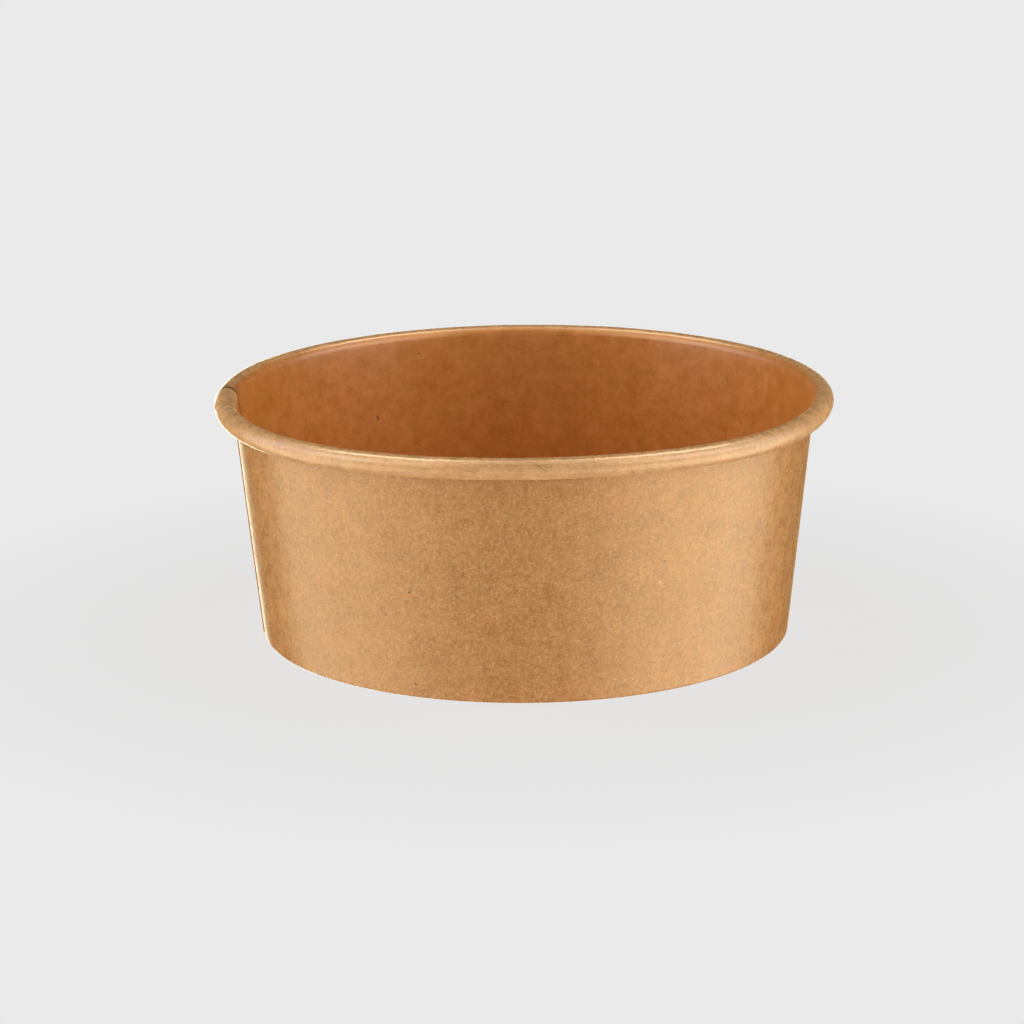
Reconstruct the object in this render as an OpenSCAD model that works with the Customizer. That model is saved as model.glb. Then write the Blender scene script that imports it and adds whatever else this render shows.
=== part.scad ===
// Paper salad bowl: a round kraft board tub of about 750 ml, made the way a forming machine makes it.
// A fan-shaped blank is wrapped into a cone and lapped at a side seam, a bottom disc with a turned-down
// skirt goes in from below, the wall's lower edge is folded up round that skirt, and the top edge is
// rolled outwards into a curl. The origin is at the centre of the foot, +Z up.

/* [Bowl] */
// Outside diameter of the rolled rim
rim_d = 150; // [140:1:180]
// Outside diameter of the foot
base_d = 129; // [110:1:138]
// Height from the table to the top of the rim
bowl_h = 60; // [40:1:110]

/* [Board] */
// Thickness of the side wall's board
wall_t = 0.45; // [0.35:0.01:0.6]
// Thickness of the bottom's board
floor_t = 0.38; // [0.3:0.01:0.5]

/* [Rolled rim] */
// Outside diameter of the curl
curl_d = 5; // [4:0.1:7]
// Gap between the curl and the wall that it rolls back to
curl_gap = 0.6; // [0.55:0.05:1]
// Turn of the curl's tucked-in tail past one full roll, in degrees
curl_tail = 80; // [20:5:140]

/* [Foot] */
// Height of the bottom's underside above the table
floor_rise = 7.5; // [5:0.5:14]
// Distance from the bottom's underside down to the hem's upper edge
hem_gap = 1.6; // [1:0.1:3]
// Inside radius of the bend from the bottom to its skirt
bend_r = 0.8; // [0.4:0.1:1.5]
// How far the fold at the foot is pressed flat
foot_press = 0.06; // [0.03:0.01:0.1]

/* [Side seam] */
// Bearing of the lap's inner edge, anticlockwise from +X
lap_at = 179; // [0:1:359]
// Width of the glued lap, measured half way up the wall
lap_w = 8.5; // [6:0.5:14]
// How far the lap's inner layer stands proud inside the bowl and on the rim
lap_proud = 0.2; // [0.1:0.01:0.25]

/* [Hidden] */
$fn = 96;
wall_colour = "#c89b69";
floor_colour = "#bf9260";
lap_clear = 0.05;
// The lap's second layer stops short of the first at the hem's edge, and at the tail's by an angle.
lap_short = 0.3;
lap_short_turn = 8;

// The fold wraps the skirt, so its inside radius is half the skirt's thickness.
fold_r = wall_t + floor_t / 2;
curl_r = curl_d / 2;
curl_pitch = wall_t + curl_gap;

// Centres of the fold at the foot and of the curl, as [radius, height].
fold_c = [base_d / 2 - fold_r, fold_r - foot_press];
curl_c = [rim_d / 2 - curl_r, bowl_h - curl_r];

// The wall runs straight between the two, tangent to both, which sets how far it leans outwards.
reach = curl_c - fold_c;
curl_x = floor_t / 2 + curl_r;
flare = acos(curl_x / norm(reach)) - atan2(reach.y, reach.x);
wall_len = sqrt(reach * reach - curl_x * curl_x);

// Sizes along the wall, measured up from the centre of the fold.
function up_wall(z, x) = (z - fold_c.y + x * sin(flare)) / cos(flare);

// A point given in the wall's own frame: out through the wall, and up along it.
function at_wall(p) = fold_c + [p.x * cos(flare) + p.y * sin(flare), p.y * cos(flare) - p.x * sin(flare)];

// Points along an arc, from one bearing to another.
function arc(centre, r, from, to, steps) = [
    for (i = [0 : steps]) let (a = from + (to - from) * i / steps) centre + r * [cos(a), sin(a)]
];

bend_out_r = bend_r + floor_t;
bend_x = floor_t / 2 - bend_out_r;
skirt_len = up_wall(floor_rise - bend_r, bend_x);
hem_len = up_wall(floor_rise - hem_gap, -fold_r);
bend_c = at_wall([bend_x, skirt_len]);
bend_flats = 6;

// The lap doubles the board: part of that shows inside, and the rest outside.
lap_out = wall_t - lap_proud;
lap_mid_r = (fold_c.x + curl_c.x) / 2;
lap_turn = lap_w / lap_mid_r * 180 / PI;
lap_foot_turn = acos(1 - (lap_proud + lap_clear) / bend_out_r);
lap_from = skirt_len + bend_out_r * sin(lap_foot_turn);

// Draws its children with the origin at the fold's centre, +X out through the wall and +Y up along it.
module on_wall() {
    translate(fold_c) rotate(-flare) children();
}

// One half of a ring: the half above the X axis, or the half below it.
module half_ring(r_out, r_in, above) {
    difference() {
        circle(r_out);
        circle(r_in);
        translate([-2 * r_out, above ? -4 * r_out : 0]) square(4 * r_out);
    }
}

// A sector of a ring, from one bearing to another less than half a turn further on.
module ring_sector(r_out, r_in, from, to) {
    mid = (from + to) / 2;
    intersection() {
        difference() {
            circle(r_out);
            circle(r_in);
        }
        polygon([
            [0, 0],
            3 * r_out * [cos(from), sin(from)],
            3 * r_out * [cos(mid), sin(mid)],
            3 * r_out * [cos(to), sin(to)]
        ]);
    }
}

// Section of the straight wall from a height along it up to the curl, between two depths in the board.
// Depth is 0 on the bowl's inside face and wall_t on its outside face.
module wall_section(from, d_in, d_out) {
    translate([floor_t / 2 + d_in, from]) square([d_out - d_in, wall_len - from]);
}

// Section of the curl: three quarters of a full turn, then a smaller quarter and a tail that roll in behind
// the wall. The bowl's inside face becomes the outside of the curl.
module curl_section(d_in, d_out, tail) {
    r_tail = curl_r - curl_pitch;
    translate([curl_x, wall_len]) {
        half_ring(curl_r - d_in, curl_r - d_out, true);
        ring_sector(curl_r - d_in, curl_r - d_out, 270, 360);
        translate([0, -curl_pitch]) {
            ring_sector(r_tail - d_in, r_tail - d_out, 180, 270);
            ring_sector(r_tail - d_in, r_tail - d_out, 180 - tail, 180);
        }
    }
}

// Section of the fold under the foot and the hem that is turned up inside it.
module hem_section(d_in, d_out, length) {
    half_ring(floor_t / 2 + d_out, floor_t / 2 + d_in, false);
    translate([-floor_t / 2 - d_out, 0]) square([d_out - d_in, length]);
}

// Keeps what is above the table, which presses the fold's underside flat.
module above_table() {
    intersection() {
        children();
        square([rim_d, 2 * bowl_h]);
    }
}

// Section of one thickness of board, from the hem's edge to the curl's tail.
module board_section() {
    above_table() on_wall() {
        wall_section(0, 0, wall_t);
        curl_section(0, wall_t, curl_tail);
        hem_section(0, wall_t, hem_len);
    }
}

// Section of the lap's second thickness, which is pressed half into the first.
// Its inner layer starts above the bottom, where it no longer meets the skirt.
module lap_section() {
    above_table() on_wall() {
        wall_section(0, wall_t / 2, wall_t + lap_out);
        wall_section(lap_from, -lap_proud, wall_t + lap_out);
        curl_section(-lap_proud, wall_t + lap_out, curl_tail - lap_short_turn);
        hem_section(wall_t / 2, wall_t + lap_out, hem_len - lap_short);
    }
}

// Section of the bottom: half of the disc, the bend and the skirt that the hem grips.
module bottom_section() {
    polygon(concat(
        [[0, floor_rise], [0, floor_rise + floor_t]],
        arc(bend_c, bend_out_r, 90, -flare, bend_flats),
        [at_wall([floor_t / 2, 0]), at_wall([-floor_t / 2, 0])],
        arc(bend_c, bend_r, -flare, 90, bend_flats)
    ));
}

// The wrapped blank: one thickness all the way round, and a second one at the side seam.
module side_wall() {
    color(wall_colour) {
        rotate_extrude() board_section();
        rotate([0, 0, lap_at]) rotate_extrude(angle = lap_turn) lap_section();
    }
}

// The bottom, pressed from a round blank, with its skirt held in the hem.
module bottom_disc() {
    color(floor_colour) rotate_extrude() bottom_section();
}

side_wall();
bottom_disc();
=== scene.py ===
import math

import bpy
import numpy as np
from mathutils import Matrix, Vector


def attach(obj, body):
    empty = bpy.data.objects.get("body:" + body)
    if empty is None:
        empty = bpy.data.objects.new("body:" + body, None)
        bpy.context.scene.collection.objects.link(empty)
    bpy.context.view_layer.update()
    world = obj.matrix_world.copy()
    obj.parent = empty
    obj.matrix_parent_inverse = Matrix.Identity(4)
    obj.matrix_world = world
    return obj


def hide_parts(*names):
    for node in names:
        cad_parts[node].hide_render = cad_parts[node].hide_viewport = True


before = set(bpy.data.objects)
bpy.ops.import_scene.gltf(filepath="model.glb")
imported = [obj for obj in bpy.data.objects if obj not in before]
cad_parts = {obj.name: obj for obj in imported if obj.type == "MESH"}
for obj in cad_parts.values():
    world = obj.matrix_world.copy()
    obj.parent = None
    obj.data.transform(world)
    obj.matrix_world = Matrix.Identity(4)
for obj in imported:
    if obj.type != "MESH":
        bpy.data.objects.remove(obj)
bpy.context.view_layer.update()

bl_info = {
    "name": "Kraft salad bowl",
    "version": (1, 0, 0),
    "blender": (4, 5, 0),
    "location": "View3D > Sidebar > Salad bowl",
    "description": "A round kraft board bowl with a rolled rim, a side seam and a bottom held in a folded foot",
    "category": "Add Mesh",
}

MM = 0.001


def linear(hex_colour):
    """Turns an sRGB colour written as six hex digits into linear red, green, blue and alpha."""
    parts = [int(hex_colour[i : i + 2], 16) / 255 for i in (0, 2, 4)]
    return tuple(c / 12.92 if c <= 0.04045 else ((c + 0.055) / 1.055) ** 2.4 for c in parts) + (1.0,)


def ease(x):
    """A soft step from 0 to 1 as x goes from 0 to 1."""
    x = np.clip(x, 0.0, 1.0)
    return x * x * (3 - 2 * x)


# Properties


def length(name, text, millimetres):
    return bpy.props.FloatProperty(
        name=name, description=text, default=millimetres * MM, unit="LENGTH", subtype="DISTANCE", precision=5
    )


def angle(name, text, degrees):
    return bpy.props.FloatProperty(name=name, description=text, default=math.radians(degrees), subtype="ANGLE")


def colour(name, text, hex_colour):
    return bpy.props.FloatVectorProperty(
        name=name, description=text, default=linear(hex_colour), size=4, min=0, max=1, subtype="COLOR"
    )


def brightness(name, text, value):
    return bpy.props.FloatProperty(name=name, description=text, default=value)


class BowlSizes(bpy.types.PropertyGroup):
    rim_diameter: length("Rim diameter", "Outside diameter of the rolled rim", 150)
    foot_diameter: length("Foot diameter", "Outside diameter of the foot", 129)
    height: length("Height", "From the table to the top of the rim", 60)
    wall_board: length("Wall board", "Thickness of the side wall's board", 0.45)
    bottom_board: length("Bottom board", "Thickness of the bottom's board", 0.38)
    curl_diameter: length("Curl diameter", "Outside diameter of the rolled rim's section", 5)
    curl_gap: length("Curl gap", "Gap between the layers of the roll", 0.6)
    curl_tail: angle("Curl tail", "Turn of the roll's end past one full roll", 80)
    bottom_rise: length("Bottom rise", "Height of the bottom's underside above the table", 7.5)
    hem_gap: length("Hem gap", "From the bottom's underside down to the hem's edge", 1.6)
    bend_radius: length("Bend radius", "Inside radius of the bend from the bottom to its skirt", 0.8)
    foot_press: length("Foot press", "How far the fold at the foot is pressed flat", 0.06)
    lap_bearing: angle("Lap bearing", "Bearing of the lap's inner edge, anticlockwise from +X", 179)
    lap_width: length("Lap width", "Width of the glued lap, half way up the wall", 8.5)
    lap_proud: length("Lap proud", "How far the lap's inner layer stands proud inside", 0.2)
    bottom_dome: length("Bottom dome", "How far the bottom bows upwards at its middle", 0.25)
    unevenness: length("Unevenness", "How far the formed board strays from a true cone", 0.12)
    rim_dip: length("Rim dip", "How far the rim dips at its two slack places", 0.95)
    rim_rise: length("Rim rise", "How far the rim rises at the front", 0.17)


class BowlColours(bpy.types.PropertyGroup):
    kraft: colour("Kraft", "Unbleached kraft board, uncoated side", "b47a3d")
    coated: colour("Coated kraft", "The same board under its clear film", "c07a36")
    # Paler than the coated board: partly the stretched film, partly a painted highlight on the roll.
    rolled: colour("Rolled rim", "The coated side where the roll has stretched and paled it", "d09b66")
    pale_fibre: colour("Pale fibre", "Fibres that were cooked paler", "e8c79e")
    dark_fibre: colour("Dark fibre", "Fibres that were cooked darker", "744618")
    speck: colour("Speck", "Bark specks left in the pulp", "3a2412")
    cut_edge: colour("Cut edge", "Board where the blank was cut", "c0915a")


class StudioSettings(bpy.types.PropertyGroup):
    backdrop: colour("Backdrop", "The floor and backdrop as the camera sees them", "eaeaea")
    left_box: brightness("Left soft box", "Brightness of its cloth", 2.55)
    right_box: brightness("Right soft box", "Brightness of its cloth", 2.4)
    front_box: brightness("Front soft box", "Brightness of its cloth", 1.14)
    fill: brightness("Room fill", "Brightness of the room all round", 0.24)
    gleam: brightness("Room gleam", "Brightness of the room in reflections", 0.1)
    left_gleam: brightness("Left gleam", "Brightness of the table to the left in reflections", 2.8)
    right_gleam: brightness("Right gleam", "Brightness of the table to the right in reflections", 4.1)
    front_gleam: brightness("Front gleam", "Brightness of the table in front in reflections", 0.7)
    table_glow: brightness("Table glow", "Light that comes up through the table", 0.5)
    rear_gleam: brightness("Rear gleam", "Brightness of the rear cards in reflections", 15.0)
    backdrop_gleam: brightness("Backdrop gleam", "Brightness of the paper behind the bowl in reflections", 4.8)
    side_gleam: brightness("Side gleam", "Brightness of the soft boxes' upper parts in reflections", 4.6)
    overhead_gleam: brightness("Overhead gleam", "Brightness of the ceiling in reflections", 2.5)
    camera_elevation: angle("Camera elevation", "Height of the camera above the horizon", 14.79)


# Section of the board


class WallFrame:
    """Turns places measured out through the wall and up along it into radius and height."""

    def __init__(self, s):
        self.half_skirt = s.bottom_board / 2
        self.curl_radius = s.curl_diameter / 2
        self.curl_pitch = s.wall_board + s.curl_gap
        fold = s.wall_board + self.half_skirt
        self.fold_at = Vector((s.foot_diameter / 2 - fold, fold - s.foot_press))
        curl_at = Vector((s.rim_diameter / 2 - self.curl_radius, s.height - self.curl_radius))
        reach = curl_at - self.fold_at
        self.curl_out = self.half_skirt + self.curl_radius
        self.flare = math.acos(self.curl_out / reach.length) - math.atan2(reach.y, reach.x)
        self.length = math.sqrt(reach.length_squared - self.curl_out**2)
        bend = s.bend_radius + s.bottom_board
        self.skirt_length = self.up(s.bottom_rise - s.bend_radius, self.half_skirt - bend)
        self.hem_length = self.up(s.bottom_rise - s.hem_gap, -fold)
        self.bend_at = self.place(self.half_skirt - bend, self.skirt_length)
        grip_turn = math.acos(1 - (s.lap_proud + 0.05 * MM) / bend)
        self.grip_end = self.skirt_length + bend * math.sin(grip_turn)

    def up(self, z, x):
        return (z - self.fold_at.y + x * math.sin(self.flare)) / math.cos(self.flare)

    def place(self, x, y):
        c, s = math.cos(self.flare), math.sin(self.flare)
        return Vector((self.fold_at.x + x * c + y * s, self.fold_at.y + y * c - x * s))


def arc(cx, cy, radius, first, last, steps):
    """Points along an arc after its first one, from one bearing to another in degrees."""
    turn = np.radians(first + (last - first) * np.arange(1, steps + 1) / steps)
    return [(cx + radius * math.cos(t), cy + radius * math.sin(t)) for t in turn]


def run(x0, y0, x1, y1, steps):
    """Points along a straight line after its first one."""
    return [(x0 + (x1 - x0) * i / steps, y0 + (y1 - y0) * i / steps) for i in range(1, steps + 1)]


def draw_section(name, places, bearing):
    """Draws a line of places, given as radius and height, in the upright plane at a bearing."""
    bpy.ops.object.select_all(action="DESELECT")
    points = [Vector((r * math.cos(bearing), r * math.sin(bearing), z)) for r, z in places]
    bpy.ops.mesh.primitive_plane_add(size=MM, location=points[0])
    board = bpy.context.object
    board.name = board.data.name = name
    bpy.ops.object.mode_set(mode="EDIT")
    bpy.ops.mesh.select_mode(type="VERT")
    bpy.ops.mesh.select_all(action="SELECT")
    bpy.ops.mesh.merge(type="CENTER")
    for here, there in zip(points, points[1:]):
        bpy.ops.mesh.extrude_region_move(TRANSFORM_OT_translate={"value": there - here})
    return board


def spin_section(board, turn, steps):
    """Turns the drawn section anticlockwise round the bowl's axis, and applies the object's place."""
    bpy.ops.mesh.select_all(action="SELECT")
    bpy.ops.mesh.spin(steps=steps, angle=turn, center=(0, 0, 0), axis=(0, 0, -1))
    bpy.ops.object.mode_set(mode="OBJECT")
    bpy.ops.object.transform_apply(location=True, rotation=True, scale=True)


def read_points(board):
    points = np.empty(len(board.data.vertices) * 3)
    board.data.vertices.foreach_get("co", points)
    return points.reshape(-1, 3)


def write_points(board, points):
    board.data.vertices.foreach_set("co", points.astype(np.float32).ravel())
    board.data.update()


def find_rows(board, places, bearing, step):
    """For each vertex, its step round the bowl and its place along the section."""
    points = read_points(board)
    rows = len(places)
    turn = np.arange(len(points)) // rows
    near = np.hypot(points[:, 0], points[:, 1])[:, None] - np.array(places)[None, :, 0]
    up = points[:, 2][:, None] - np.array(places)[None, :, 1]
    row = np.argmin(near**2 + up**2, axis=1)
    expected = bearing + turn * step
    off = np.hypot(points[:, 0] - np.array(places)[row, 0] * np.cos(expected),
                   points[:, 1] - np.array(places)[row, 0] * np.sin(expected))
    if off.max() > 0.01 * MM:
        raise RuntimeError("the spun section isn't in the expected order")
    return turn, row


def lay_out_flat(board, flat):
    """Gives each vertex's place on the flat sheet to the board's UV map, in metres."""
    layer = board.data.uv_layers.new(name="flat_sheet")
    corner = np.empty(len(board.data.loops), dtype=np.int32)
    board.data.loops.foreach_get("vertex_index", corner)
    layer.data.foreach_set("uv", flat[corner].astype(np.float32).ravel())


def face_coated_side(board, coated_towards):
    """Makes the faces point to the coated side; coated_towards gives that direction at a face's middle."""
    bpy.ops.object.mode_set(mode="EDIT")
    bpy.ops.mesh.select_all(action="SELECT")
    bpy.ops.mesh.normals_make_consistent(inside=False)
    bpy.ops.object.mode_set(mode="OBJECT")
    face, wanted = coated_towards(board.data)
    if face.normal.dot(wanted) < 0:
        bpy.ops.object.mode_set(mode="EDIT")
        bpy.ops.mesh.select_all(action="SELECT")
        bpy.ops.mesh.flip_normals()
        bpy.ops.object.mode_set(mode="OBJECT")


def give_thickness(board, materials, thickness, group=None, least=1.0):
    """Thickens the sheet away from its coated side; the far side and the cut edges get their own materials."""
    for material in materials:
        board.data.materials.append(material)
    solid = board.modifiers.new("board thickness", "SOLIDIFY")
    solid.thickness = thickness
    solid.offset = -1
    solid.use_even_offset = True
    solid.use_quality_normals = True
    solid.material_offset = 1
    solid.material_offset_rim = 2
    if group:
        solid.vertex_group = group.name
        solid.thickness_vertex_group = least
    bpy.ops.object.modifier_apply(modifier=solid.name)


def press_to_table(board):
    """Flattens whatever the fold left below the table."""
    bpy.ops.object.mode_set(mode="OBJECT")
    low = read_points(board)[:, 2] < 0
    bpy.ops.object.mode_set(mode="EDIT")
    bpy.ops.mesh.select_all(action="DESELECT")
    bpy.ops.object.mode_set(mode="OBJECT")
    board.data.vertices.foreach_set("select", low)
    bpy.ops.object.mode_set(mode="EDIT")
    bpy.ops.transform.resize(value=(1, 1, 0), center_override=(0, 0, 0))
    bpy.ops.mesh.select_all(action="DESELECT")
    bpy.ops.object.mode_set(mode="OBJECT")


def finish_piece(board, node, smooth_to):
    bpy.ops.object.shade_smooth_by_angle(angle=math.radians(smooth_to))
    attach(board, "root")
    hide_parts(node)


def waves(turn, orders, shifts):
    """Slow waves round the bowl, between -1 and 1, that close on themselves."""
    return sum(np.cos(n * turn + p) for n, p in zip(orders, shifts)) / len(orders)


def bump(turn, middle, width):
    """One soft rise in a turn round the bowl, 1 at its middle, which is in degrees like its width."""
    return np.exp((np.cos(turn - math.radians(middle)) - 1) / math.radians(width) ** 2)


# Materials


def add(tree, kind, links=None, **settings):
    """Adds a node with its settings, and its inputs as values or as links from other nodes' outputs."""
    made = tree.nodes.new(kind)
    for key, value in settings.items():
        setattr(made, key, value)
    for key, value in (links or {}).items():
        if isinstance(value, bpy.types.NodeSocket):
            tree.links.new(value, made.inputs[key])
        else:
            made.inputs[key].default_value = value
    return made


def level(tree, source, low, high, to_low=0.0, to_high=1.0, soft=False):
    """Maps a range of a value to another range, clamped."""
    kind = "SMOOTHSTEP" if soft else "LINEAR"
    ranges = {"Value": source, "From Min": low, "From Max": high, "To Min": to_low, "To Max": to_high}
    return add(tree, "ShaderNodeMapRange", ranges, interpolation_type=kind).outputs["Result"]


def sums(tree, operation, first, second):
    return add(tree, "ShaderNodeMath", {0: first, 1: second}, operation=operation).outputs[0]


def spread(tree, value, strength):
    """Turns a value between 0 and 1 into one about 0, and gives it its strength."""
    return sums(tree, "MULTIPLY", sums(tree, "SUBTRACT", value, 0.5), strength)


def blend_of(tree, first, first_share, second, second_share):
    first_part = sums(tree, "MULTIPLY", first, first_share)
    return sums(tree, "ADD", first_part, sums(tree, "MULTIPLY", second, second_share))


def tint(tree, share, base, colour_on_top, blend="MIX"):
    links = {"Factor": share, 6: base, 7: colour_on_top}
    return add(tree, "ShaderNodeMix", links, data_type="RGBA", blend_type=blend).outputs[2]


def cloud(tree, place, size, detail, rough=0.55):
    """Soft cloudiness of the pulp, with patches of about the given size in millimetres."""
    links = {"Vector": place, "Scale": 1 / size, "Detail": detail, "Roughness": rough}
    return add(tree, "ShaderNodeTexNoise", links, noise_dimensions="2D").outputs["Fac"]


def fibres(tree, place, spacing, long, wide, share, shift):
    """Short, slightly bowed fibres, each at its own angle, about one to each spacing in millimetres."""
    moved = add(tree, "ShaderNodeVectorMath", {0: place, 1: shift}, operation="ADD").outputs[0]
    cell = add(tree, "ShaderNodeTexVoronoi", {"Vector": moved, "Scale": 1 / spacing, "Randomness": 1.0},
               voronoi_dimensions="2D", feature="F1")
    from_middle = {0: moved, 1: cell.outputs["Position"]}
    own = add(tree, "ShaderNodeVectorMath", from_middle, operation="SUBTRACT").outputs[0]
    chance = add(tree, "ShaderNodeSeparateColor", {0: cell.outputs["Color"]})
    angle_of = sums(tree, "MULTIPLY", chance.outputs[0], math.tau)
    turned = add(tree, "ShaderNodeVectorRotate", {"Vector": own, "Angle": angle_of}, rotation_type="Z_AXIS")
    parts = add(tree, "ShaderNodeSeparateXYZ", {0: turned.outputs[0]})
    bow = sums(tree, "MULTIPLY", sums(tree, "SUBTRACT", chance.outputs[1], 0.5), 1.6 / long)
    lifted = sums(tree, "MULTIPLY", sums(tree, "MULTIPLY", parts.outputs[0], parts.outputs[0]), bow)
    across = sums(tree, "DIVIDE", sums(tree, "SUBTRACT", parts.outputs[1], lifted), wide / 2)
    along = sums(tree, "DIVIDE", parts.outputs[0], long / 2)
    away = sums(tree, "ADD", sums(tree, "MULTIPLY", across, across), sums(tree, "MULTIPLY", along, along))
    inside = level(tree, away, 0.35, 1.0, 1.0, 0.0, soft=True)
    kept = level(tree, chance.outputs[2], 1 - share, 1 - share + 0.05)
    return sums(tree, "MULTIPLY", inside, kept)


class Sheet:
    """Where things are on the wall's flat sheet, in millimetres: along it from the lap's edge, and up it."""

    def __init__(self, s, w, middle, fold_top, wall_top, lap_end):
        self.lap_bearing, self.middle, self.foot = s.lap_bearing, middle, w.fold_at.y
        self.lean = math.cos(w.flare)
        self.fold_top, self.wall_top, self.lap_end = fold_top / MM, wall_top / MM, lap_end / MM

    def spot(self, bearing, height, past_wall=0.0):
        """A place at a bearing in degrees: at a height on the wall, or so far past its top, in millimetres."""
        along = (math.radians(bearing) - self.lap_bearing) % math.tau * self.middle / MM
        on_wall = self.fold_top + (height - self.foot / MM) / self.lean
        return along, self.wall_top + past_wall if past_wall else on_wall


def mark(tree, place, at, long, wide, tilt):
    """One fibre or speck at its own place on the sheet, with its sizes in millimetres."""
    own = add(tree, "ShaderNodeVectorMath", {0: place, 1: (*at, 0)}, operation="SUBTRACT").outputs[0]
    turn_back = {"Vector": own, "Angle": -math.radians(tilt)}
    turned = add(tree, "ShaderNodeVectorRotate", turn_back, rotation_type="Z_AXIS").outputs[0]
    by_size = {0: turned, 1: (2 / long, 2 / wide, 0)}
    shape = add(tree, "ShaderNodeVectorMath", by_size, operation="MULTIPLY").outputs[0]
    away = add(tree, "ShaderNodeVectorMath", {0: shape}, operation="LENGTH").outputs["Value"]
    return level(tree, away, 0.45, 1.1, 1.0, 0.0, soft=True)


def kraft_board(name, base_colour, c, film=False, sheet=None, marks=()):
    """Unbleached kraft board: brown pulp whose fibres, clouds and specks show as formed on the wire.

    Uncoated it is a satin, calendered face with an open, sandy grain. Under its film it is deeper, its grain is
    drowned, and only soft clouds are left. The roll stretches the film and lets the grain show; the roll's
    paler colour is partly that stretched film and partly a painted highlight.
    """
    made = bpy.data.materials.new(name)
    made.use_nodes = True
    tree = made.node_tree
    tree.nodes.clear()
    flat = add(tree, "ShaderNodeUVMap", uv_map="flat_sheet").outputs["UV"]
    place = add(tree, "ShaderNodeVectorMath", {0: flat, "Scale": 1 / MM}, operation="SCALE").outputs[0]
    plain = add(tree, "ShaderNodeRGB")
    plain.outputs[0].default_value = base_colour
    plain = plain.outputs[0]
    drowned, bare, on_roll = 0.12, 0.88, 0.6
    open_grain = add(tree, "ShaderNodeValue")
    open_grain.outputs[0].default_value = drowned if film else bare
    open_grain = open_grain.outputs[0]
    on_wall_film = film and sheet
    if on_wall_film:
        # The roll's paler colour, partly stretched film and partly painted highlight, starts lower where the
        # blank's front end was pinched into the lap.
        along, up = add(tree, "ShaderNodeSeparateXYZ", {0: place}).outputs[:2]
        up = sums(tree, "ADD", up, level(tree, along, 8.0, 40.0, 2.4, 0.0))
        paled_and_highlighted = level(tree, up, sheet.wall_top + 1.5, sheet.wall_top + 3.1, soft=True)
        plain = tint(tree, paled_and_highlighted, plain, c.rolled)
        open_grain = level(tree, paled_and_highlighted, 0.0, 1.0, drowned, on_roll)

    # Clouds of the pulp: some patches yellower, some redder, and darker or lighter with them.
    drawn_out = {0: place, 1: (1.0, 1.0 if film else 0.85, 1.0)}
    drawn = add(tree, "ShaderNodeVectorMath", drawn_out, operation="MULTIPLY")
    big = cloud(tree, drawn.outputs[0], 9.0, 1.0)
    mid = cloud(tree, drawn.outputs[0], 3.6, 2.0, 0.8)
    hue = cloud(tree, drawn.outputs[0], 6.0, 2.0)
    shade = sums(tree, "ADD", spread(tree, big, 0.17), spread(tree, mid, 0.36))
    # A patch that is lighter is a little greyer too, as thin pulp is.
    thin = tint(tree, 0.35, plain, c.pale_fibre)
    lit = add(tree, "ShaderNodeVectorMath", {0: thin, "Scale": shade}, operation="SCALE").outputs[0]
    base = add(tree, "ShaderNodeVectorMath", {0: plain, 1: lit}, operation="ADD").outputs[0]
    base = tint(tree, level(tree, hue, 0.45, 0.7, 0.0, 0.35), base, (1.03, 0.94, 0.80, 1), "MULTIPLY")
    base = tint(tree, level(tree, hue, 0.55, 0.3, 0.0, 0.35), base, (0.98, 1.05, 1.02, 1), "MULTIPLY")

    # Sandy grain of fibre ends, drawn from 0.4 mm up, the finest that shows.
    sand = cloud(tree, place, 0.42, 1.0, 0.9)
    grit = cloud(tree, place, 1.1, 2.0, 1.0)
    grain = sums(tree, "ADD", spread(tree, sand, 0.6), spread(tree, grit, 1.2))
    pale = sums(tree, "MAXIMUM", fibres(tree, place, 0.62, 0.8, 0.2, 0.7, (3.1, 7.7, 0)),
                fibres(tree, place, 1.3, 1.5, 0.2, 0.4, (61.3, 20.9, 0)))
    dark = sums(tree, "MAXIMUM", fibres(tree, place, 0.58, 0.7, 0.2, 0.7, (17.9, 43.1, 0)),
                fibres(tree, place, 1.2, 1.3, 0.2, 0.4, (91.7, 11.3, 0)))
    grain = sums(tree, "ADD", grain, blend_of(tree, pale, 0.12, dark, -0.28))
    grain = sums(tree, "MULTIPLY", grain, open_grain)
    base = tint(tree, level(tree, grain, 0.0, 1.0), base, c.pale_fibre)
    base = tint(tree, level(tree, grain, 0.0, -1.0), base, c.dark_fibre)
    speck = fibres(tree, place, 9.0, 0.5, 0.34, 0.16, (5.3, 31.7, 0))
    base = tint(tree, sums(tree, "MULTIPLY", speck, 0.75), base, c.speck)
    for at, long, wide, tilt, shown, of_colour in marks:
        share = sums(tree, "MULTIPLY", mark(tree, place, at, long, wide, tilt), shown)
        base = tint(tree, share, base, of_colour)
    if on_wall_film:
        # Painted shade: the sheet is darkened for a few millimetres behind the lap's edge, where the lap's step
        # shades it.
        # A painted shadow line lies 1.7 to 2.1 mm behind that edge. The first cut end shows as a dark line,
        # partly its raw board and partly painted shade.
        painted_lap_shade = level(tree, along, sheet.lap_end - 7.0, sheet.lap_end - 0.5, 0.0, 0.65, soft=True)
        base = tint(tree, painted_lap_shade, base, c.dark_fibre)
        # Painted shadow line of the lap's step, in the speck colour.
        painted_step_shadow_line = level(tree, along, sheet.lap_end - 2.1, sheet.lap_end - 1.7, 0.0, 0.6)
        # The first cut end's dark line: partly raw board, partly painted shade.
        first_cut_end_and_shade = level(tree, along, 0.05, 0.3, 0.6, 0.0)
        base = tint(tree, sums(tree, "MAXIMUM", painted_step_shadow_line, first_cut_end_and_shade), base, c.speck)

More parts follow.
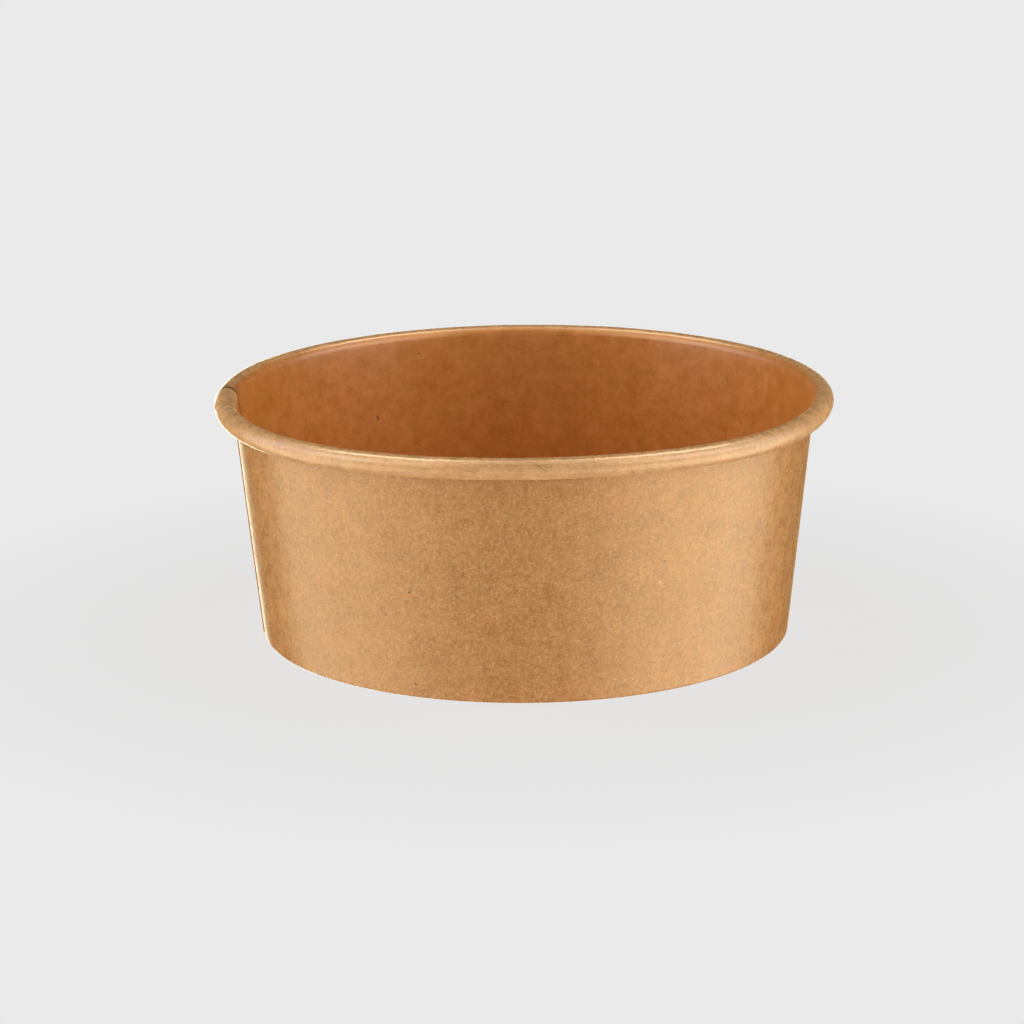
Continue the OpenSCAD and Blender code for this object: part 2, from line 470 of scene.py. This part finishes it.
    tooth = blend_of(tree, sand, 0.6, pale, 0.35)
    tooth = blend_of(tree, tooth, open_grain, mid, 0.8)
    depth = 0.012 * MM if film else 0.018 * MM
    bumps = add(tree, "ShaderNodeBump", {"Height": tooth, "Distance": depth, "Strength": 1.0}).outputs[0]
    smoothest, roughest = (0.24, 0.32) if film else (0.25, 0.33)
    rough = level(tree, mid, 0.3, 0.7, smoothest, roughest)
    if on_wall_film:
        # The roll's stretched film is smoother than the film down in the bowl.
        rough = sums(tree, "ADD", rough, level(tree, paled_and_highlighted, 0.0, 1.0, 0.05, 0.0))
    shader = add(tree, "ShaderNodeBsdfPrincipled", {
        "Base Color": base, "Roughness": rough, "Normal": bumps, "IOR": 1.5,
    })
    add(tree, "ShaderNodeOutputMaterial", {"Surface": shader.outputs[0]})
    return made


def board_materials(c, part, sheet=None):
    """The three faces of a board: coated side, uncoated side and cut edge."""
    inside, outside = [], []
    if sheet:
        # The few bark specks and loose fibres that stand out on the bowl in the photograph, and one painted
        # shadow down the inside beside the lap's edge.
        inside = [
            (sheet.spot(124.0, 39.1), 1.7, 0.6, 70, 0.9, c.speck),
            (sheet.spot(113.1, 54.4), 0.8, 0.5, 20, 0.9, c.speck),
            # Painted shadow beside the lap's edge, just under the roll, in the speck colour.
            (sheet.spot(179.6, 0, -1.4), 2.6, 1.2, 88, 0.85, c.speck),
            (sheet.spot(272.4, 0, 6.5), 3.4, 0.25, 37, 0.75, c.dark_fibre),
            (sheet.spot(260.7, 0, 7.6), 3.6, 0.22, 7, 0.6, c.dark_fibre),
        ]
        outside = [
            (sheet.spot(246.6, 26.1), 1.0, 0.65, 15, 0.9, c.speck),
            (sheet.spot(241.1, 19.9), 0.8, 0.5, 60, 0.8, c.speck),
            (sheet.spot(297.9, 32.4), 0.9, 0.6, 30, 0.85, c.speck),
            (sheet.spot(203.0, 21.5), 1.1, 0.7, 80, 0.8, c.speck),
            (sheet.spot(246.8, 3.4), 0.9, 0.6, 10, 0.85, c.speck),
            (sheet.spot(297.2, 27.5), 1.0, 0.6, 40, 0.8, c.pale_fibre),
            (sheet.spot(302.3, 5.8), 1.8, 0.3, 25, 0.6, c.dark_fibre),
        ]
    return [
        kraft_board(part + "_kraft_film_coated", tuple(c.coated), c, True, sheet, inside),
        kraft_board(part + "_kraft_uncoated", tuple(c.kraft), c, False, sheet, outside),
        kraft_board(part + "_kraft_cut_edge", tuple(c.cut_edge), c, False),
    ]


# Operators


class SALADBOWL_OT_side_wall(bpy.types.Operator):
    """Wrap the side wall: one blank with its lap seam, rolled rim and folded foot"""

    bl_idname = "salad_bowl.side_wall"
    bl_label = "Side wall"

    def execute(self, context):
        s = context.scene.salad_bowl_sizes
        w = WallFrame(s)
        k, r = w.half_skirt, w.curl_radius
        hem_steps, fold_steps, wall_steps = 6, 10, 24
        line = [(-k, w.hem_length)]
        line += run(-k, w.hem_length, -k, 0, hem_steps)
        line += arc(0, 0, k, 180, 360, fold_steps)
        line += run(k, 0, k, w.length, wall_steps)
        line += arc(w.curl_out, w.length, r, 180, -90, 30)
        tucked = w.length - w.curl_pitch
        line += arc(w.curl_out, tucked, r - w.curl_pitch, -90, -180, 8)
        line += arc(w.curl_out, tucked, r - w.curl_pitch, 180, 180 - math.degrees(s.curl_tail), 6)
        places = [tuple(w.place(x, y)) for x, y in line]
        line, places = np.array(line), np.array(places)

        middle = (w.fold_at.x + s.rim_diameter / 2 - r) / 2
        lap_turn = s.lap_width / middle
        steps = 551
        step = (math.tau + lap_turn) / steps
        board = draw_section("side_wall_board", places, s.lap_bearing)
        spin_section(board, math.tau + lap_turn, steps)
        turn, row = find_rows(board, places, s.lap_bearing, step)

        # Where the skirt is gripped, the lap's two layers are pressed thinner.
        wall_foot = hem_steps + fold_steps
        wall_head = wall_foot + wall_steps
        along = np.concatenate([[0], np.cumsum(np.hypot(*np.diff(line, axis=0).T))])
        on_wall = np.where(np.arange(len(line)) <= wall_foot, 0.0, line[:, 1])
        on_wall[wall_head + 1 :] = w.length
        grip = 1 - ease((on_wall - w.grip_end) / (3 * MM))
        turned = turn * step
        first = 1 - ease((turned - lap_turn) / math.radians(2.6))
        last = ease((turned - math.tau) / math.radians(1.5) + 1)
        pressed = (2 * s.wall_board - s.lap_proud) / 2
        out_face = s.wall_board - s.lap_proud
        g = grip[row]
        lift = s.lap_proud * first * (1 - g) - last * (out_face * (1 - g) + pressed * g)

        # The hem is knurled by the tool that seals it.
        in_hem = (row > 0) & (row < hem_steps)
        lift = lift - np.where(in_hem & (turn % 2 == 1), 0.05 * MM, 0.0)

        # Formed board is never quite a true cone.
        bearing = s.lap_bearing + turned
        rise = ease((on_wall[row] - w.grip_end) / (w.length - w.grip_end))
        belly = np.sin(np.pi * np.clip((on_wall[row] - w.grip_end) / (w.length - w.grip_end), 0, 1))
        slow = waves(bearing, (2, 3, 5), (0.4, 2.1, 4.4))
        quick = waves(bearing, (7, 11, 17, 29), (1.2, 3.3, 0.2, 5.1))
        in_out = -0.5 * s.unevenness * rise * (1 + slow)
        in_out = in_out + s.unevenness * belly * (0.7 * slow + 0.5 * quick)
        down = -0.3 * s.unevenness * rise * (1 + quick)
        dip = bump(bearing, 216, 24) + 0.7 * bump(bearing, 322, 18)
        down = down + rise * (s.rim_rise * bump(bearing, 272, 34) - s.rim_dip * dip)

        tangent = np.gradient(places, axis=0)
        tangent /= np.linalg.norm(tangent, axis=1)[:, None]
        radius = places[row, 0] - tangent[row, 1] * lift + in_out
        height = places[row, 1] + tangent[row, 0] * lift + down
        write_points(board, np.stack([radius * np.cos(bearing), radius * np.sin(bearing), height], 1))

        flat = np.stack([turned * middle, along[row]], 1)
        lay_out_flat(board, flat)
        group = board.vertex_groups.new(name="full_thickness")
        full = 1 - g * np.maximum(first, last)
        for value in np.unique(np.round(full, 3)):
            group.add(np.nonzero(np.round(full, 3) == value)[0].tolist(), float(value), "REPLACE")

        def wall_face(mesh):
            face = min(mesh.polygons, key=lambda f: (f.center - Vector((0, -0.0673, 0.03))).length)
            return face, Vector((0, 1, 0))

        face_coated_side(board, wall_face)
        sheet = Sheet(s, w, middle, along[wall_foot], along[wall_head], math.tau * middle)
        finish = board_materials(context.scene.salad_bowl_colours, "wall", sheet)
        give_thickness(board, finish, s.wall_board, group, pressed / s.wall_board)
        press_to_table(board)
        board.vertex_groups.clear()
        finish_piece(board, "side_wall", 40)
        return {"FINISHED"}


class SALADBOWL_OT_bottom(bpy.types.Operator):
    """Press the bottom: a disc whose edge is turned down into a skirt"""

    bl_idname = "salad_bowl.bottom"
    bl_label = "Bottom"

    def execute(self, context):
        s = context.scene.salad_bowl_sizes
        w = WallFrame(s)
        top = s.bottom_rise + s.bottom_board
        bend = w.bend_at
        bend_out = s.bend_radius + s.bottom_board
        places = [(0.0, top)]
        places += run(0, top, 0.9 * bend.x, top, 12)
        places += run(0.9 * bend.x, top, bend.x, top, 6)
        places += arc(bend.x, bend.y, bend_out, 90, -math.degrees(w.flare), 8)
        skirt_top = w.place(w.half_skirt, w.skirt_length)
        skirt_end = w.place(w.half_skirt, 0)
        places += run(*skirt_top, *skirt_end, 5)
        steps = 360
        board = draw_section("bottom_board", places, 0.0)
        spin_section(board, math.tau, steps)
        bpy.ops.object.mode_set(mode="EDIT")
        bpy.ops.mesh.select_all(action="SELECT")
        bpy.ops.mesh.remove_doubles(threshold=0.005 * MM)
        bpy.ops.object.mode_set(mode="OBJECT")

        points = read_points(board)
        places = np.array(places)
        radius = np.hypot(points[:, 0], points[:, 1])
        bearing = np.arctan2(points[:, 1], points[:, 0])
        off_row = np.hypot(radius[:, None] - places[None, :, 0], points[:, 2:] - places[None, :, 1])
        row = np.argmin(off_row, axis=1)
        along = np.concatenate([[0], np.cumsum(np.hypot(*np.diff(places, axis=0).T))])[row]

        # The pressed disc bows up a little, and its turned edge puckers.
        share = np.clip(radius / bend.x, 0, 1)
        bow = s.bottom_dome * (1 - share**2) * (1 + 0.25 * waves(bearing, (2, 3), (0.9, 3.7)) * share)
        on_bend = np.exp(-(((radius - bend.x) / (1.1 * MM)) ** 2)) * (points[:, 2] > bend.y)
        pucker = 0.045 * MM * waves(bearing, (61, 97, 140), (0.3, 1.9, 4.0)) * on_bend
        points[:, 2] += bow + pucker
        write_points(board, points)
        lay_out_flat(board, np.stack([along * np.cos(bearing), along * np.sin(bearing)], 1))

        def disc_face(mesh):
            face = min(mesh.polygons, key=lambda f: (f.center - Vector((0.03, 0, top))).length)
            return face, Vector((0, 0, 1))

        face_coated_side(board, disc_face)
        give_thickness(board, board_materials(context.scene.salad_bowl_colours, "bottom"), s.bottom_board)
        finish_piece(board, "bottom_disc", 40)
        return {"FINISHED"}


def soft_box(name, bearing, elevation, distance, wide, high, brightness, aim=(0, 0, 0.03)):
    """Hangs a soft box; its bearing is from the camera's side, to the right, in degrees."""
    b, e = math.radians(bearing), math.radians(elevation)
    towards = Vector((math.sin(b) * math.cos(e), -math.cos(b) * math.cos(e), math.sin(e)))
    bpy.ops.object.select_all(action="DESELECT")
    bpy.ops.object.light_add(type="AREA", location=Vector(aim) + towards * distance)
    lamp = bpy.context.object
    lamp.name = lamp.data.name = name
    lamp.rotation_euler = (-towards).to_track_quat("-Z", "Y").to_euler()
    lamp.data.shape = "RECTANGLE"
    lamp.data.size, lamp.data.size_y = wide, high
    lamp.data.energy = brightness * math.pi * wide * high
    return lamp


class SALADBOWL_OT_studio(bpy.types.Operator):
    """Set up the pale floor, the soft boxes and the camera"""

    bl_idname = "salad_bowl.studio"
    bl_label = "Studio"

    def execute(self, context):
        scene = context.scene
        studio = scene.salad_bowl_studio
        bpy.ops.object.select_all(action="DESELECT")
        bpy.ops.mesh.primitive_circle_add(vertices=96, radius=0.5, fill_type="NGON", location=(0, 0, 0))
        floor = context.object
        floor.name = floor.data.name = "studio_floor"
        bpy.ops.object.mode_set(mode="EDIT")
        bpy.ops.mesh.select_mode(type="EDGE")
        bpy.ops.mesh.select_all(action="SELECT")
        bpy.ops.mesh.inset(thickness=0.2)
        bpy.ops.mesh.select_all(action="SELECT")
        bpy.ops.mesh.region_to_loop()
        bpy.ops.mesh.extrude_edges_move()
        bpy.ops.transform.resize(value=(16, 16, 1), center_override=(0, 0, 0))
        bpy.ops.mesh.select_all(action="SELECT")
        bpy.ops.mesh.normals_make_consistent(inside=False)
        bpy.ops.object.mode_set(mode="OBJECT")
        if floor.data.polygons[0].normal.z < 0:
            floor.data.flip_normals()
        floor.data.materials.append(self.floor_paper(studio))

        soft_box("left_soft_box", -89, 22, 1.0, 1.05, 0.8, studio.left_box)
        soft_box("right_soft_box", 83, 22, 1.0, 1.05, 0.8, studio.right_box)
        front = soft_box("front_soft_box", 0, 16, 1.4, 1.3, 0.9, studio.front_box)
        front.visible_glossy = False
        self.room(scene, studio)
        self.camera(scene, studio)
        scene.view_settings.view_transform = "Standard"
        return {"FINISHED"}

    def floor_paper(self, studio):
        """White background paper: matt, seen as one even tone with only the bowl's soft shadow on it."""
        made = bpy.data.materials.new("white_background_paper")
        made.use_nodes = True
        tree = made.node_tree
        tree.nodes.clear()
        place = add(tree, "ShaderNodeTexCoord").outputs["Object"]
        away = add(tree, "ShaderNodeVectorMath", {0: place}, operation="LENGTH").outputs["Value"]
        near = level(tree, away, 0.08, 0.18, 0.14, 0.0, soft=True)
        paper = add(tree, "ShaderNodeBsdfDiffuse", {"Color": (0.75, 0.75, 0.75, 1)}).outputs[0]
        shaded = add(tree, "ShaderNodeBsdfDiffuse", {"Color": (0.72, 0.72, 0.72, 1)}).outputs[0]
        even = add(tree, "ShaderNodeEmission", {"Color": tuple(studio.backdrop), "Strength": 1.0}).outputs[0]
        seen = add(tree, "ShaderNodeMixShader", {0: near, 1: even, 2: shaded}).outputs[0]
        # Reflections look through the floor to the room's own pattern of light.
        clear = add(tree, "ShaderNodeBsdfTransparent").outputs[0]
        ray = add(tree, "ShaderNodeLightPath")
        glow = add(tree, "ShaderNodeEmission", {"Strength": studio.table_glow}).outputs[0]
        paper = add(tree, "ShaderNodeAddShader", {0: paper, 1: glow}).outputs[0]
        lit = add(tree, "ShaderNodeMixShader", {0: ray.outputs["Is Glossy Ray"], 1: paper, 2: clear}).outputs[0]
        top = add(tree, "ShaderNodeMixShader", {0: ray.outputs["Is Camera Ray"], 1: lit, 2: seen}).outputs[0]
        below = add(tree, "ShaderNodeNewGeometry").outputs["Backfacing"]
        surface = add(tree, "ShaderNodeMixShader", {0: below, 1: top, 2: clear}).outputs[0]
        add(tree, "ShaderNodeOutputMaterial", {"Surface": surface})
        return made

    def room(self, scene, studio):
        world = bpy.data.worlds.new("studio_room")
        world.use_nodes = True
        tree = world.node_tree
        tree.nodes.clear()
        fill = add(tree, "ShaderNodeBackground", {"Color": (1, 1, 1, 1), "Strength": studio.fill}).outputs[0]
        pale = add(tree, "ShaderNodeBackground", {"Color": tuple(studio.backdrop), "Strength": 1.0}).outputs[0]
        warm = {"Color": (1.0, 0.99, 0.74, 1), "Strength": self.reflected_room(tree, studio)}
        dim = add(tree, "ShaderNodeBackground", warm).outputs[0]
        ray = add(tree, "ShaderNodeLightPath")
        lit = add(tree, "ShaderNodeMixShader", {0: ray.outputs["Is Glossy Ray"], 1: fill, 2: dim}).outputs[0]
        seen = add(tree, "ShaderNodeMixShader", {0: ray.outputs["Is Camera Ray"], 1: lit, 2: pale}).outputs[0]
        add(tree, "ShaderNodeOutputWorld", {"Surface": seen})
        scene.world = world

    def reflected_room(self, tree, studio):
        """What gloss sees: bright table at both sides, paper behind, rear cards, soft boxes and ceiling."""
        way = add(tree, "ShaderNodeSeparateXYZ", {0: add(tree, "ShaderNodeTexCoord").outputs["Generated"]})
        out = sums(tree, "ABSOLUTE", way.outputs[0], 0.0)
        bearing = sums(tree, "ARCTAN2", out, sums(tree, "MULTIPLY", way.outputs[1], -1.0))

        def band(source, rise, full, fade, none, unit=math.radians(1)):
            up = level(tree, source, rise * unit, full * unit, soft=True)
            down = level(tree, source, fade * unit, none * unit, 1.0, 0.0, soft=True)
            return sums(tree, "MULTIPLY", up, down)

        right = level(tree, way.outputs[0], -0.1, 0.1)
        left_side = sums(tree, "MULTIPLY", band(bearing, 8, 80, 108, 130), studio.left_gleam)
        right_side = sums(tree, "MULTIPLY", band(bearing, 5, 65, 96, 130), studio.right_gleam)
        forward = level(tree, bearing, math.radians(60), math.radians(110), 1.0, 0.0, soft=True)
        front = sums(tree, "MULTIPLY", forward, studio.front_gleam)
        sides = add(tree, "ShaderNodeMix", {"Factor": right, 2: left_side, 3: right_side}).outputs[0]
        sides = sums(tree, "ADD", sides, front)
        behind = sums(tree, "SUBTRACT", bearing, level(tree, way.outputs[0], -0.3, 0.3, 0.0, math.radians(9)))
        back = sums(tree, "MULTIPLY", level(tree, behind, math.radians(158), math.radians(169), soft=True),
                    studio.backdrop_gleam)
        back = sums(tree, "MULTIPLY", back, level(tree, way.outputs[0], -0.12, 0.12, 1.6, 0.8))
        below = level(tree, way.outputs[2], 0.05, -0.1, soft=True)
        under_bowl = level(tree, way.outputs[2], -0.6, -0.8, 1.0, 0.15, soft=True)
        lit = sums(tree, "MULTIPLY", below, under_bowl)
        table = sums(tree, "MULTIPLY", sums(tree, "ADD", sides, back), lit)
        height = sums(tree, "ARCSINE", way.outputs[2], 0.0)
        cards = sums(tree, "MULTIPLY", band(height, 42, 56, 70, 86), band(bearing, 102, 120, 138, 152))
        cards = sums(tree, "MULTIPLY", cards, studio.rear_gleam)
        boxes = sums(tree, "MULTIPLY", band(height, 6, 24, 62, 82), band(bearing, 18, 46, 84, 100))
        boxes = sums(tree, "MULTIPLY", boxes, studio.side_gleam)
        overhead = sums(tree, "MULTIPLY", level(tree, height, math.radians(58), math.radians(78), soft=True),
                        studio.overhead_gleam)
        above = sums(tree, "ADD", sums(tree, "ADD", cards, boxes), overhead)
        return sums(tree, "ADD", sums(tree, "ADD", table, above), studio.gleam)

    def camera(self, scene, studio):
        bpy.ops.object.select_all(action="DESELECT")
        e = studio.camera_elevation
        away = 0.860
        place = Vector((0, -away * math.cos(e), 0.030 + away * math.sin(e)))
        aim = Vector((-0.0032023, -0.0003729, 0.0284652))
        bpy.ops.object.camera_add(location=place)
        camera = bpy.context.object
        camera.name = camera.data.name = "studio_camera"
        look = (aim - place).to_track_quat("-Z", "Y").to_euler()
        camera.rotation_euler = look
        camera.rotation_euler.rotate_axis("Z", -math.radians(0.5327))
        camera.data.sensor_width = 36
        camera.data.lens = 3510 / 1024 * 36
        camera.data.clip_start, camera.data.clip_end = 0.05, 20
        scene.camera = camera


class SALADBOWL_PT_panel(bpy.types.Panel):
    bl_idname = "SALADBOWL_PT_panel"
    bl_label = "Salad bowl"
    bl_space_type = "VIEW_3D"
    bl_region_type = "UI"
    bl_category = "Salad bowl"

    def draw(self, context):
        for group in ("salad_bowl_sizes", "salad_bowl_colours", "salad_bowl_studio"):
            settings = getattr(context.scene, group)
            box = self.layout.box()
            for name in settings.__annotations__:
                box.prop(settings, name)
        for operator in OPERATORS:
            self.layout.operator(operator.bl_idname)


GROUPS = {"salad_bowl_sizes": BowlSizes, "salad_bowl_colours": BowlColours, "salad_bowl_studio": StudioSettings}
OPERATORS = (SALADBOWL_OT_side_wall, SALADBOWL_OT_bottom, SALADBOWL_OT_studio)


def register():
    for cls in (*GROUPS.values(), *OPERATORS, SALADBOWL_PT_panel):
        bpy.utils.register_class(cls)
    for name, group in GROUPS.items():
        setattr(bpy.types.Scene, name, bpy.props.PointerProperty(type=group))


def unregister():
    for name in GROUPS:
        delattr(bpy.types.Scene, name)
    for cls in (SALADBOWL_PT_panel, *reversed(OPERATORS), *reversed(tuple(GROUPS.values()))):
        bpy.utils.unregister_class(cls)


def main():
    register()
    bpy.ops.salad_bowl.side_wall()
    bpy.ops.salad_bowl.bottom()
    bpy.ops.salad_bowl.studio()


if __name__ == "__main__":
    main()
